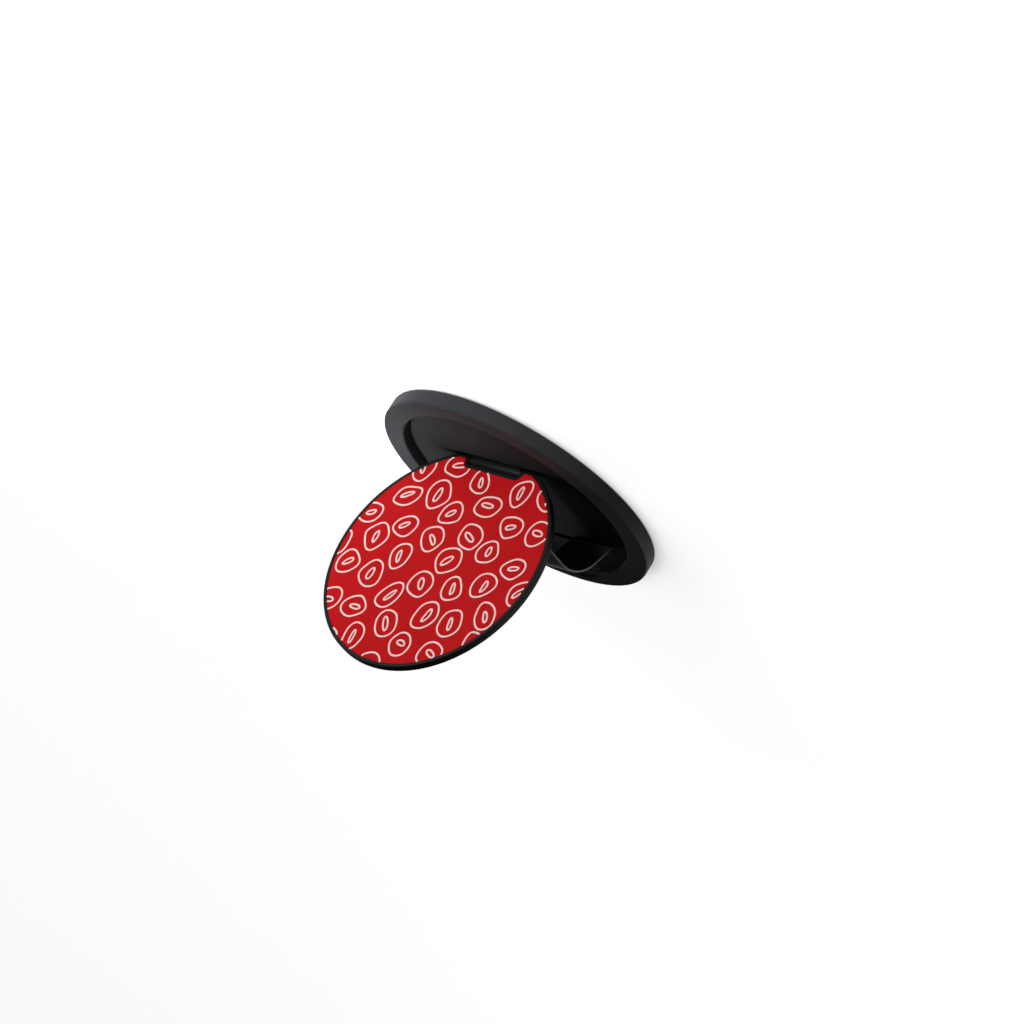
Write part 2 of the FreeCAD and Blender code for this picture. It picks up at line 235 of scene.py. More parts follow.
def patches(tree, size, low, high, stretch=(1, 1, 1)):
    """A value that wanders between two limits over patches of a size in millimetres."""
    place = add(tree, "ShaderNodeTexCoord").outputs["Object"]
    place = add(tree, "ShaderNodeMapping", {"Vector": place, "Scale": stretch}).outputs["Vector"]
    noise = add(tree, "ShaderNodeTexNoise", {"Vector": place, "Scale": 1 / (size * mm), "Detail": 3.0})
    limits = {
        "Value": noise.outputs["Fac"], "From Min": 0.3, "From Max": 0.7, "To Min": low, "To Max": high,
    }
    return add(tree, "ShaderNodeMapRange", limits).outputs["Result"]


def mottled(tree, first, second, size):
    """A colour that wanders between two hex colours over patches of a size in millimetres."""
    mix = {"Factor": patches(tree, size, low=0.0, high=1.0), "A": srgb(first), "B": srgb(second)}
    return add(tree, "ShaderNodeMix", mix, data_type="RGBA").outputs["Result"]


# Satin black with a spark-eroded grain that breaks up the highlights on the ring's edges. The real grain is
# about 0.05 mm, drawn coarser here so that it shows.
base_plastic, tree = new_material("satin_black_polycarbonate")
surface = add(tree, "ShaderNodeBsdfPrincipled", {
    "Base Color": mottled(tree, "#38393c", "#3e3f42", size=14.0),
    "Roughness": patches(tree, size=5.0, low=0.52, high=0.6),
    "Specular IOR Level": 0.05,
    "Normal": grain(tree, size=0.22, height=0.012),
})
add(tree, "ShaderNodeOutputMaterial", {"Surface": surface.outputs["BSDF"]})
base_mesh = bmesh.new()
skin(base_mesh, sections, closed=True)
finished("base_ring_moulding", base_mesh, base_plastic, "base", "base_plastic", "base_ring")

# Magnets: a ring of nickel-plated segments in the groove, under a soft steel shield that turns their pull
# towards the magnetic face. Both are shut in once the cover is on.


def dress(node, material):
    """Give a solid that is shown as it is built its material."""
    frame["nodes"][node].data.materials.clear()
    frame["nodes"][node].data.materials.append(material)


# Bright plate with a faint warm tone and slightly clouded patches.
nickel, tree = new_material("bright_nickel_plate")
surface = add(tree, "ShaderNodeBsdfPrincipled", {
    "Base Color": srgb("#cbc6bb"), "Metallic": 1.0,
    "Roughness": patches(tree, size=2.0, low=0.16, high=0.32),
})
add(tree, "ShaderNodeOutputMaterial", {"Surface": surface.outputs["BSDF"]})
dress("ring_magnets", nickel)

# Plain strip with the fine rolling lines of cold rolled steel, drawn out along X.
rolled_steel, tree = new_material("cold_rolled_steel")
surface = add(tree, "ShaderNodeBsdfPrincipled", {
    "Base Color": srgb("#a4a4a6"), "Metallic": 1.0,
    "Roughness": patches(tree, size=0.4, low=0.3, high=0.5, stretch=(0.05, 1, 1)),
})
add(tree, "ShaderNodeOutputMaterial", {"Surface": surface.outputs["BSDF"]})
dress("shield_ring", rolled_steel)

# Recess floor: a black anodised aluminium tray under the disc, pressed in from below. The strap comes up
# through a slot across it, and the hinge slides along another one.
tray_edge = 0.06
flat_angle = math.radians(0.5)
solid_weld = 1e-3 * mm


def softened(name, node, width, material, body, slot):
    """A copy of a solid with its flat facets joined and its edges rounded, in the solid's place."""
    mesh = bmesh.new()
    mesh.from_mesh(frame["nodes"][node].data)
    bmesh.ops.remove_doubles(mesh, verts=mesh.verts, dist=solid_weld)
    bmesh.ops.dissolve_limit(mesh, angle_limit=flat_angle, verts=mesh.verts, edges=mesh.edges)
    for face in mesh.faces:
        bends = [edge.calc_face_angle() for edge in face.edges if edge.is_manifold]
        face.smooth = any(0 < bend < crease_angle for bend in bends)
    corners = [edge for edge in mesh.edges if edge.is_manifold and edge.calc_face_angle() > crease_angle]
    rounds = bmesh.ops.bevel(
        mesh, geom=corners, offset=width * mm, segments=2, profile=0.5, affect="EDGES", clamp_overlap=True
    )
    for face in rounds["faces"]:
        face.smooth = True
    finished(name, mesh, material, body, slot, node)


# Deep matt black with the fine sparkle of bead blasting, drawn a little coarser than it is. Its tone, a
# step darker than the ring's, is partly painted shade that keeps the recess floor quiet under the print.
tray_metal, tree = new_material("black_anodised_aluminium")
surface = add(tree, "ShaderNodeBsdfPrincipled", {
    # Partly painted shade: the tray is a darker tone than the ring, so that the recess under the disc stays
    # dark.
    "Base Color": mottled(tree, "#28292b", "#2d2e30", size=9.0),
    "Roughness": patches(tree, size=3.0, low=0.55, high=0.63),
    "Specular IOR Level": 0.03,
    "Normal": grain(tree, size=0.18, height=0.008),
})
add(tree, "ShaderNodeOutputMaterial", {"Surface": surface.outputs["BSDF"]})
softened("recess_floor", "slide_tray", tray_edge, tray_metal, "base", "tray_metal")

# Back: a thin polycarbonate cover that shuts the magnets in, and a soft silicone pad on it that keeps the
# grip from sliding and marking what it holds to.
cover_edge = 0.06
pad_edge = 0.07
softened("base_cover", "back_cover", cover_edge, base_plastic, "base", "base_plastic")

# Dull dark grey with a dry, dusty bloom and a very fine skin texture.
pad_rubber, tree = new_material("matt_silicone")
surface = add(tree, "ShaderNodeBsdfPrincipled", {
    "Base Color": mottled(tree, "#2b2c2e", "#333436", size=6.0),
    "Roughness": patches(tree, size=4.0, low=0.62, high=0.74),
    "Specular IOR Level": 0.3,
    "Sheen Weight": 0.15,
    "Normal": grain(tree, size=0.3, height=0.015),
})
add(tree, "ShaderNodeOutputMaterial", {"Surface": surface.outputs["BSDF"]})
softened("silicone_pad", "grip_pad", pad_edge, pad_rubber, "base", "pad_rubber")

# Strap: one die-cut band of black polyurethane. Its foot is held under the recess floor, and its two legs
# rise in a loop for the fingers and end in the disc's back, either side of a window for the hinge.
strap_thick = 0.45
strap_low, strap_high = (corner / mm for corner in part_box("strap"))
strap_window = 4.7
strap_foot_length = 3.4
strap_root = strap_low.y + strap_foot_length
strap_root_bend = 2.6
strap_top_bend = 8.0
strap_disc_bend = 1.2
strap_rise = math.radians(70)
strap_end = 6.2
strap_edge_round = 0.12
strap_foot_z = strap_low.z + strap_thick / 2
strap_top_z = strap_high.z - strap_thick / 2
strap_back_y = strap_high.y - strap_thick / 2
strap_bridge = 0.8
bend_steps = 24
edge_steps = 4


def strap_line():
    """Middle line of the strap seen from the side, as (y, z) points."""
    corners = [
        (strap_low.y, strap_foot_z, 0),
        (strap_root, strap_foot_z, strap_root_bend),
        (strap_root + (strap_top_z - strap_foot_z) / math.tan(strap_rise), strap_top_z, strap_top_bend),
        (strap_back_y, strap_top_z, strap_disc_bend),
        (strap_back_y, strap_end, 0),
    ]
    places = [Vector(corner[:2]) for corner in corners]
    line = [places[0]]
    for i in range(1, len(corners) - 1):
        line += corner_arc(places[i], places[i - 1], places[i + 1], corners[i][2], bend_steps)
    return line + [places[-1]]


def band_section(inner, outer, place, normal):
    """Round-edged section of the strap between two distances from the middle, at one place on its line."""
    half = strap_thick / 2
    corners = [(inner, -half), (outer, -half), (outer, half), (inner, half)]
    section = []
    for i, corner in enumerate(corners):
        section += corner_arc(corner, corners[i - 1], corners[(i + 1) % 4], strap_edge_round, edge_steps)
    return [(x, place.x + normal.x * depth, place.y + normal.y * depth) for x, depth in section]


line = strap_line()
normals = []
for i, place in enumerate(line):
    along = (line[min(i + 1, len(line) - 1)] - line[max(i - 1, 0)]).normalized()
    normals.append(Vector((-along.y, along.x)))
strap_mesh = bmesh.new()
for side in (1, -1):
    sections = [
        band_section(side * strap_window, side * strap_high.x, place, normal)
        for place, normal in zip(line, normals)
    ]
    skin(strap_mesh, sections, closed=False)
foot_line = [Vector((strap_low.y, strap_foot_z)), Vector((strap_low.y + strap_bridge, strap_foot_z))]
sections = [band_section(-strap_window, strap_window, place, Vector((0, 1))) for place in foot_line]
skin(strap_mesh, sections, closed=False)

# Smooth satin black faces with a soft skin, and a painted highlight: paler colour along the edges where the
# sheet was cut.
leg_middle = (strap_window + strap_high.x) / 2
leg_half = (strap_high.x - strap_window) / 2
strap_rubber, tree = new_material("black_polyurethane")
place = add(tree, "ShaderNodeTexCoord").outputs["Object"]
across = add(tree, "ShaderNodeSeparateXYZ", {"Vector": place}).outputs["X"]
across = add(tree, "ShaderNodeMath", {0: across}, operation="ABSOLUTE").outputs[0]
across = add(tree, "ShaderNodeMath", {0: across, 1: leg_middle * mm}, operation="SUBTRACT").outputs[0]
across = add(tree, "ShaderNodeMath", {0: across}, operation="ABSOLUTE").outputs[0]
# Painted highlight: the colour turns paler towards each leg's cut edges, standing in for the shine on their
# rounding.
painted_edge_highlight = add(tree, "ShaderNodeMapRange", {
    "Value": across, "From Min": (leg_half - strap_edge_round) * mm, "From Max": leg_half * mm,
}).outputs["Result"]
face_to_highlight = {"Factor": painted_edge_highlight, "A": srgb("#292a2d"), "B": srgb("#6a6b6e")}
surface = add(tree, "ShaderNodeBsdfPrincipled", {
    "Base Color": add(tree, "ShaderNodeMix", face_to_highlight, data_type="RGBA").outputs["Result"],
    "Roughness": patches(tree, size=3.0, low=0.42, high=0.52),
    "Specular IOR Level": 0.4,
    "Normal": grain(tree, size=0.35, height=0.012),
})
add(tree, "ShaderNodeOutputMaterial", {"Surface": surface.outputs["BSDF"]})
strap = finished("finger_strap", strap_mesh, strap_rubber, "base", "strap_rubber", "strap")
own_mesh(strap)

# Hinge slider: a black acetal barrel on a foot with a thin tongue. It carries the disc's pin and slides in
# the recess floor, held by an acetal shoe underneath and two domed rivets.
slider_edge = 0.08
shoe_rivet_radius = 0.45
shoe_rivet_head_radius = 0.8
shoe_rivet_head = 0.15
shoe_rivet_inset = 0.75
rivet_sides = 40
# Steps of a rivet's head, each a share of its height and how far the step closes in.
dome_steps = ((0.45, 1.0), (0.27, 0.93), (0.18, 0.8), (0.1, 0.5))

# Waxy dark plastic with a dull even sheen, which keeps the barrel quiet beside the print.
slider_plastic, tree = new_material("black_acetal")
surface = add(tree, "ShaderNodeBsdfPrincipled", {
    "Base Color": mottled(tree, "#151618", "#191a1c", size=4.0),
    "Roughness": patches(tree, size=2.0, low=0.5, high=0.58),
    "Specular IOR Level": 0.2,
    "Normal": grain(tree, size=0.25, height=0.006),
})
add(tree, "ShaderNodeOutputMaterial", {"Surface": surface.outputs["BSDF"]})
softened("slider_body", "hinge_slider", slider_edge, slider_plastic, "slider", "slider_plastic")
softened("slider_shoe", "slide_shoe", slider_edge, slider_plastic, "slider", "slider_plastic")

# Dark oxide with worn grey patches on the domes.
rivet_steel, tree = new_material("blackened_steel")
surface = add(tree, "ShaderNodeBsdfPrincipled", {
    "Base Color": mottled(tree, "#2c2d30", "#45464a", size=0.5),
    "Metallic": 1.0,
    "Roughness": patches(tree, size=0.8, low=0.3, high=0.45),
})
add(tree, "ShaderNodeOutputMaterial", {"Surface": surface.outputs["BSDF"]})


def rivet_tree():
    """Node tree of two rows of rivets along +Z, each turned, with heads that close in by dome_steps."""
    tree = bpy.data.node_groups.new("domed_rivets", "GeometryNodeTree")
    inputs = {
        "Count": "Int", "First": "Vector", "Step": "Vector", "Row Gap": "Vector", "Shank Radius": "Float",
        "Shank Length": "Float", "Head Radius": "Float", "Head Height": "Float", "Turn": "Vector",
    }
    for name, kind in inputs.items():
        tree.interface.new_socket(name, in_out="INPUT", socket_type="NodeSocket" + kind)
    tree.interface.new_socket("Geometry", in_out="OUTPUT", socket_type="NodeSocketGeometry")
    given = add(tree, "NodeGroupInput").outputs

    shank = {"Vertices": rivet_sides, "Radius": given["Shank Radius"]}
    foot = add(tree, "GeometryNodeMeshCircle", shank, fill_type="NGON").outputs[0]
    radii = {0: given["Head Radius"], 1: given["Shank Radius"]}
    flare = add(tree, "ShaderNodeMath", radii, operation="DIVIDE").outputs[0]
    steps = [(given["Shank Length"], 1.0), (0.0, flare)]
    for share, spread in dome_steps:
        rise = add(tree, "ShaderNodeMath", {0: given["Head Height"], 1: share}, operation="MULTIPLY")
        steps.append((rise.outputs[0], spread))
    rivet, top = foot, True
    for rise, spread in steps:
        up = add(tree, "ShaderNodeCombineXYZ", {"Z": rise}).outputs[0]
        pull = {"Mesh": rivet, "Selection": top, "Offset": up, "Individual": False}
        grown = add(tree, "GeometryNodeExtrudeMesh", pull).outputs
        top = grown["Top"]
        widen = {"Geometry": grown["Mesh"], "Selection": top, "Scale": spread}
        rivet = add(tree, "GeometryNodeScaleElements", widen).outputs[0]
    whole = add(tree, "GeometryNodeJoinGeometry")
    tree.links.new(rivet, whole.inputs[0])
    tree.links.new(add(tree, "GeometryNodeFlipFaces", {"Mesh": foot}).outputs[0], whole.inputs[0])
    joined = {"Geometry": whole.outputs[0], "Distance": weld}
    rivet = add(tree, "GeometryNodeMergeByDistance", joined).outputs[0]
    starts = {0: given["First"], 1: given["Row Gap"]}
    second = add(tree, "ShaderNodeVectorMath", starts, operation="ADD").outputs[0]
    rows = add(tree, "GeometryNodeJoinGeometry")
    for start in (given["First"], second):
        line = {"Count": given["Count"], "Start Location": start, "Offset": given["Step"]}
        tree.links.new(add(tree, "GeometryNodeMeshLine", line).outputs[0], rows.inputs[0])
    seats = {"Points": rows.outputs[0], "Instance": rivet, "Rotation": given["Turn"]}
    set_in = add(tree, "GeometryNodeInstanceOnPoints", seats).outputs[0]
    set_in = add(tree, "GeometryNodeRealizeInstances", {"Geometry": set_in}).outputs[0]
    set_in = add(tree, "GeometryNodeSetShadeSmooth", {"Geometry": set_in}).outputs[0]
    set_in = add(tree, "GeometryNodeSetMaterial", {"Geometry": set_in, "Material": rivet_steel}).outputs[0]
    add(tree, "NodeGroupOutput", {"Geometry": set_in})
    return tree


def grown_piece(name, tree, values, body, slot, *nodes):
    """Run a node tree on an empty mesh and keep what it makes as a plain piece."""
    seed = bpy.data.objects.new(name + "_seed", bpy.data.meshes.new(name + "_seed"))
    bpy.context.scene.collection.objects.link(seed)
    modifier = seed.modifiers.new(name, "NODES")
    modifier.node_group = tree
    for socket in tree.interface.items_tree:
        if socket.in_out == "INPUT":
            modifier[socket.identifier] = values[socket.name]
    evaluated = seed.evaluated_get(bpy.context.evaluated_depsgraph_get())
    data = bpy.data.meshes.new_from_object(evaluated)
    bpy.data.objects.remove(seed)
    placed(name, data, body, slot, *nodes)


rivets = rivet_tree()
shoe_low, shoe_high = (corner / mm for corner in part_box("slide_shoe"))
shoe_rivet_low, shoe_rivet_high = (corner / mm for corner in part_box("shoe_rivets"))
grown_piece("slider_rivets", rivets, {
    "Count": 1,
    "First": Vector((0, shoe_low.y + shoe_rivet_inset, shoe_rivet_low.z)) * mm,
    "Step": Vector((0, 0, 0)),
    "Row Gap": Vector((0, shoe_high.y - shoe_low.y - 2 * shoe_rivet_inset, 0)) * mm,
    "Shank Radius": shoe_rivet_radius * mm,
    "Shank Length": (shoe_rivet_high.z - shoe_rivet_low.z - shoe_rivet_head) * mm,
    "Head Radius": shoe_rivet_head_radius * mm,
    "Head Height": shoe_rivet_head * mm,
    "Turn": Vector((0, 0, 0)),
}, "slider", "rivet_steel", "shoe_rivets")

# Disc plate: the black moulded carrier of the print, a round plate with a raised rim, a notch for the
# hinge and two ears that hold the pin. The strap's ends lie in two pockets in its back.
fold_joint = next(joint for joint in frame["joints"] if joint["name"] == "disc_fold")
pin_y, pin_z = (place / mm for place in fold_joint["pos_m"][1:])
disc_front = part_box("disc_plate")[1].y / mm
disc_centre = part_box("print_panel")[1].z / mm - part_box("print_panel")[1].x / mm
disc_thick = 1.15
disc_back = disc_front - disc_thick
rim_width = 0.7
lip_depth = 0.35
lip_stop = 3.0
core_margin = 1.2
core_inset = rim_width + core_margin
panel_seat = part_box("print_panel")[0].y / mm
core_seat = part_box("steel_core")[0].y / mm
pin_drop = disc_centre - pin_z
ear_radius = 0.75
flat_drop = pin_drop + ear_radius
barrel_radius = 0.85
notch_gap = 0.2
notch_drop = pin_drop - barrel_radius - notch_gap
notch_half = 6.2
notch_flare = 0.8
corner_round = 0.8
notch_round = 0.3
disc_edge_round = 0.2
rim_edge_round = 0.08
outline_steps = 260
pocket_rise = 0.5
pocket_low = strap_end - pocket_rise
pocket_high = strap_top_z + strap_thick / 2 + pocket_rise
pocket_depth = 0.3
pocket_gap = 0.1
ear_bore = 0.41
ear_chamfer = 0.1
ear_steps = 40


def disc_outline():
    """The disc's edge as (place, outward normal, lip or not), round the circle, flat and notch."""
    corner_x = math.sqrt(disc_radius ** 2 - flat_drop ** 2)
    right, left = Vector((corner_x, -flat_drop)), Vector((-corner_x, -flat_drop))
    right_way, left_way = Vector((flat_drop, corner_x)), Vector((-flat_drop, corner_x))
    wide, narrow = notch_half + notch_flare, notch_half
    notch = [
        left, (-wide, -flat_drop), (-narrow, -notch_drop), (narrow, -notch_drop), (wide, -flat_drop), right,
    ]
    rounds = [corner_round, corner_round, notch_round, notch_round, corner_round, corner_round]
    ways = [left + left_way] + notch + [right + right_way]
    points = []
    for i, radius in enumerate(rounds):
        points += corner_arc(notch[i], ways[i], ways[i + 2], radius)
    outline = []
    for i, place in enumerate(points):
        before = (place - points[i - 1]).normalized() if i > 0 else -left_way.normalized()
        after = (points[i + 1] - place).normalized() if i + 1 < len(points) else right_way.normalized()
        along = (before + after).normalized()
        outline.append((place, Vector((along.y, -along.x)), False))
    start = math.atan2(points[-1].y, points[-1].x)
    stop = math.atan2(points[0].y, points[0].x) + 2 * math.pi
    lip_start = -math.asin((pin_drop - lip_stop) / disc_radius)
    lip_end = math.pi - lip_start
    arcs = ((start, lip_start, False), (lip_start, lip_end, True), (lip_end, stop, False))
    for first, last, lip in arcs:
        steps = math.ceil(outline_steps * (last - first) / (stop - start))
        for i in range(steps + 1):
            angle = first + (last - first) * i / steps
            way = Vector((math.cos(angle), math.sin(angle)))
            outline.append((way * disc_radius, way, lip))
    return outline[:-1]


def disc_section(place, normal, profile):
    """A profile of (inset, y) points set on one place of the disc's edge."""
    return [
        (place.x - normal.x * inset, y, disc_centre + place.y - normal.y * inset) for inset, y in profile
    ]


def skin_open(mesh, sections):
    """Join open sections round a closed edge, and give the first and last loops of points back."""
    rows = [[mesh.verts.new(Vector(p) * mm) for p in section] for section in sections]
    for here, there in zip(rows, rows[1:] + rows[:1]):
        for i in range(1, len(here)):
            mesh.faces.new((here[i - 1], here[i], there[i], there[i - 1])).smooth = True
    return [row[0] for row in rows], [row[-1] for row in rows]


def fill(mesh, *loops):
    """Close a flat face inside the first loop of points, leaving holes at the others."""
    edges = []
    for loop in loops:
        for i in range(len(loop)):
            found = mesh.edges.get((loop[i - 1], loop[i]))
            edges.append(found or mesh.edges.new((loop[i - 1], loop[i])))
    bmesh.ops.triangle_fill(mesh, edges=edges, use_beauty=True)


def rim_profile(lip):
    """The rim's section as (inset, y), from the core's seat over the front edge to the back."""
    heel = disc_back - lip_depth if lip else disc_back
    profile = [(core_inset, core_seat), (core_inset, panel_seat), (rim_width, panel_seat)]
    profile += corner_arc((rim_width, disc_front), (rim_width, 0), (0, disc_front), rim_edge_round)
    profile += corner_arc((0, disc_front), (rim_width, disc_front), (0, heel), disc_edge_round)
    profile += corner_arc((0, heel), (0, disc_front), (rim_width, heel), disc_edge_round)
    if lip:
        profile += corner_arc((rim_width, heel), (0, heel), (rim_width, disc_back), rim_edge_round)
    else:
        profile += [(rim_width, disc_back)] * arc_points
    return profile + [(rim_width, disc_back)]


disc_mesh = bmesh.new()
outline = disc_outline()
core_loop, back_loop = skin_open(disc_mesh, [disc_section(p, n, rim_profile(lip)) for p, n, lip in outline])
fill(disc_mesh, core_loop)
pockets = []
for side in (1, -1):
    near, far = side * (strap_window - pocket_gap), side * (strap_high.x + pocket_gap)
    corners = [(near, pocket_low), (far, pocket_low), (far, pocket_high), (near, pocket_high)]
    mouth = [disc_mesh.verts.new(Vector((x, disc_back, z)) * mm) for x, z in corners]
    bed = [disc_mesh.verts.new(Vector((x, disc_back + pocket_depth, z)) * mm) for x, z in corners]
    for i in range(4):
        disc_mesh.faces.new((mouth[i - 1], mouth[i], bed[i], bed[i - 1]))
    disc_mesh.faces.new(bed)
    pockets.append(mouth)
fill(disc_mesh, back_loop, *pockets)
ear_end = math.sqrt(disc_radius ** 2 - flat_drop ** 2)
ear_profile = [
    (notch_half, ear_bore), (notch_half, ear_radius - ear_chamfer), (notch_half + ear_chamfer, ear_radius),
    (ear_end - ear_chamfer, ear_radius), (ear_end, ear_radius - ear_chamfer), (ear_end, ear_bore),
]
for side in (1, -1):
    turns = [2 * math.pi * i / ear_steps for i in range(ear_steps)]
    sections = [
        [
            (side * x, pin_y + radius * math.cos(turn), pin_z + radius * math.sin(turn))
            for x, radius in ear_profile
        ]
        for turn in turns
    ]
    skin(disc_mesh, sections, closed=True)

# Deep black with a soft sheen, a shade darker and smoother than the base, so that the rim frames the print.
disc_plastic, tree = new_material("moulded_black_abs")
surface = add(tree, "ShaderNodeBsdfPrincipled", {
    "Base Color": mottled(tree, "#111214", "#151618", size=11.0),
    "Roughness": patches(tree, size=4.0, low=0.4, high=0.48),
    "Specular IOR Level": 0.1,
    "Normal": grain(tree, size=0.22, height=0.008),
})
add(tree, "ShaderNodeOutputMaterial", {"Surface": surface.outputs["BSDF"]})
finished("disc_carrier", disc_mesh, disc_plastic, "disc", "disc_plastic", "disc_plate")
dress("steel_core", rolled_steel)

# Print panel: a thin printed polycarbonate sheet let into the rim over a steel core, red with a low gloss.
# Its outline follows the disc's, with the same notch for the hinge.
panel_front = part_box("print_panel")[1].y / mm
panel_edge_round = 0.05
panel_inset = rim_width + seat_gap
panel_profile = [(panel_inset, panel_seat)]
panel_profile += corner_arc(
    (panel_inset, panel_front), (panel_inset, 0), (core_inset, panel_front), panel_edge_round
)
panel_mesh = bmesh.new()
seat_loop, front_loop = skin_open(panel_mesh, [disc_section(p, n, panel_profile) for p, n, _ in outline])
fill(panel_mesh, seat_loop)
fill(panel_mesh, front_loop)

# Even signal red with a matt ink skin: faint clouding where the ink lies thicker, and a fine tooth.
print_red, tree = new_material("red_printed_sheet")
surface = add(tree, "ShaderNodeBsdfPrincipled", {
    "Base Color": mottled(tree, "#b81418", "#bf161a", size=3.0),
    "Roughness": patches(tree, size=1.5, low=0.5, high=0.6),
    "Specular IOR Level": 0.04,
    "Normal": grain(tree, size=0.3, height=0.004),
})
add(tree, "ShaderNodeOutputMaterial", {"Surface": surface.outputs["BSDF"]})
finished("printed_sheet", panel_mesh, print_red, "disc", "print_sheet", "print_panel")

# Ink lines: off-white pebble outlines screened on the red sheet, each round a slim seed. They fan out from
# the middle at even spacing, as seeds do in a flower head, and the sheet's edge trims the outer ones.
ink_height = 0.02
motif_count = 42
motif_spacing = 3.85
motif_first_step = 0.55
motif_radius = 2.8
motif_least = (0.92, 0.76, 1)
motif_most = (1.04, 0.96, 1)
motif_lift = 0.008
seed_share = (0.46, 0.2, 1.0)
motif_wobble = 1.8
motif_wobble_size = 4.6
motif_jitter = 0.2
motif_points = 96
stroke_width = 0.36
stroke_margin = 0.02
golden_angle = math.pi * (3 - math.sqrt(5))
motif_seed = 11

# Warm white that lets some red through where the ink is thin.
ink_paint, tree = new_material("screen_printed_ink")
surface = add(tree, "ShaderNodeBsdfPrincipled", {
    "Base Color": mottled(tree, "#eecac5", "#f5dcd8", size=0.9),
    "Roughness": 0.6,
    "Specular IOR Level": 0.12,
})
add(tree, "ShaderNodeOutputMaterial", {"Surface": surface.outputs["BSDF"]})

tree = bpy.data.node_groups.new("pebble_print", "GeometryNodeTree")
print_sizes = {
    "Count": ("NodeSocketInt", motif_count),
    "Spacing": ("NodeSocketFloat", motif_spacing * mm),
    "Radius": ("NodeSocketFloat", motif_radius * mm),
    "Seed Share": ("NodeSocketVector", Vector(seed_share)),
    "Wobble": ("NodeSocketFloat", motif_wobble * mm),
    "Wobble Size": ("NodeSocketFloat", motif_wobble_size * mm),
    "Jitter": ("NodeSocketFloat", motif_jitter * mm),
    "Stroke": ("NodeSocketFloat", stroke_width * mm),
    "Ink Height": ("NodeSocketFloat", ink_height * mm),
    "Sheet Radius": ("NodeSocketFloat", (disc_radius - panel_inset - stroke_margin) * mm),
    "Flat": ("NodeSocketFloat", (flat_drop - panel_inset - stroke_margin) * mm),
    "Notch": ("NodeSocketFloat", (notch_drop - panel_inset - stroke_margin) * mm),
    "Notch Half": ("NodeSocketFloat", (notch_half + panel_inset + stroke_margin) * mm),
    "Notch Slope": ("NodeSocketFloat", notch_flare / (flat_drop - notch_drop)),
    "Seed": ("NodeSocketInt", motif_seed),
}
for name, (kind, _) in print_sizes.items():
    tree.interface.new_socket(name, in_out="INPUT", socket_type=kind)
tree.interface.new_socket("Geometry", in_out="OUTPUT", socket_type="NodeSocketGeometry")
given = add(tree, "NodeGroupInput").outputs

# Seats, each a golden angle on from the last one, a little further out, and slightly shaken.
index = add(tree, "GeometryNodeInputIndex").outputs[0]
step = add(tree, "ShaderNodeMath", {0: index, 1: motif_first_step}, operation="ADD").outputs[0]
root = add(tree, "ShaderNodeMath", {0: step, 1: 0.5}, operation="POWER").outputs[0]
reach = add(tree, "ShaderNodeMath", {0: root, 1: given["Spacing"]}, operation="MULTIPLY").outputs[0]
turn = add(tree, "ShaderNodeMath", {0: index, 1: golden_angle}, operation="MULTIPLY").outputs[0]
spoke = add(tree, "ShaderNodeCombineXYZ", {"X": reach}).outputs[0]
swing = {"Vector": spoke, "Angle": turn}
seat = add(tree, "ShaderNodeVectorRotate", swing, rotation_type="Z_AXIS").outputs[0]
limits = {0: (-1, -1, 0), 1: (1, 1, motif_lift / motif_jitter), "Seed": given["Seed"]}
shake = add(tree, "FunctionNodeRandomValue", limits, data_type="FLOAT_VECTOR").outputs[0]
shaken = {0: shake, "Scale": given["Jitter"]}
shake = add(tree, "ShaderNodeVectorMath", shaken, operation="SCALE").outputs[0]
seat = add(tree, "ShaderNodeVectorMath", {0: seat, 1: shake}, operation="ADD").outputs[0]
seeds = add(tree, "GeometryNodeMeshLine", {"Count": given["Count"]}).outputs[0]
seeds = add(tree, "GeometryNodeSetPosition", {"Geometry": seeds, "Position": seat}).outputs[0]

# Outlines: a squeezed and turned ring on each seat and a slim one inside it, both bent by a slow noise.
unit_ring = {"Resolution": motif_points, "Radius": 1.0}
circle = add(tree, "GeometryNodeCurvePrimitiveCircle", unit_ring).outputs[0]
limits = {0: motif_least, 1: motif_most, "Seed": given["Seed"]}
squeeze = add(tree, "FunctionNodeRandomValue", limits, data_type="FLOAT_VECTOR").outputs[0]
lean = add(tree, "FunctionNodeRandomValue", {2: 0.0, 3: 2 * math.pi, "Seed": given["Seed"]}).outputs[1]
lean = add(tree, "ShaderNodeCombineXYZ", {"Z": lean}).outputs[0]
grow = {0: squeeze, "Scale": given["Radius"]}
pebble = add(tree, "ShaderNodeVectorMath", grow, operation="SCALE").outputs[0]
shrink = {0: pebble, 1: given["Seed Share"]}
kernel = add(tree, "ShaderNodeVectorMath", shrink, operation="MULTIPLY").outputs[0]
rings = add(tree, "GeometryNodeJoinGeometry")
for size in (pebble, kernel):
    ring = {"Points": seeds, "Instance": circle, "Rotation": lean, "Scale": size}
    tree.links.new(add(tree, "GeometryNodeInstanceOnPoints", ring).outputs[0], rings.inputs[0])
rings = add(tree, "GeometryNodeRealizeInstances", {"Geometry": rings.outputs[0]}).outputs[0]
place = add(tree, "GeometryNodeInputPosition").outputs[0]
wobble_scale = add(tree, "ShaderNodeMath", {0: 1.0, 1: given["Wobble Size"]}, operation="DIVIDE").outputs[0]
slow = {"Vector": place, "Scale": wobble_scale, "Detail": 0.0}
noise = add(tree, "ShaderNodeTexNoise", slow).outputs["Color"]
noise = add(tree, "ShaderNodeVectorMath", {0: noise, 1: (0.5, 0.5, 0.5)}, operation="SUBTRACT").outputs[0]
noise = add(tree, "ShaderNodeVectorMath", {0: noise, 1: (1, 1, 0)}, operation="MULTIPLY").outputs[0]
swell = {0: noise, "Scale": given["Wobble"]}
drift = add(tree, "ShaderNodeVectorMath", swell, operation="SCALE").outputs[0]
rings = add(tree, "GeometryNodeSetPosition", {"Geometry": rings, "Offset": drift}).outputs[0]

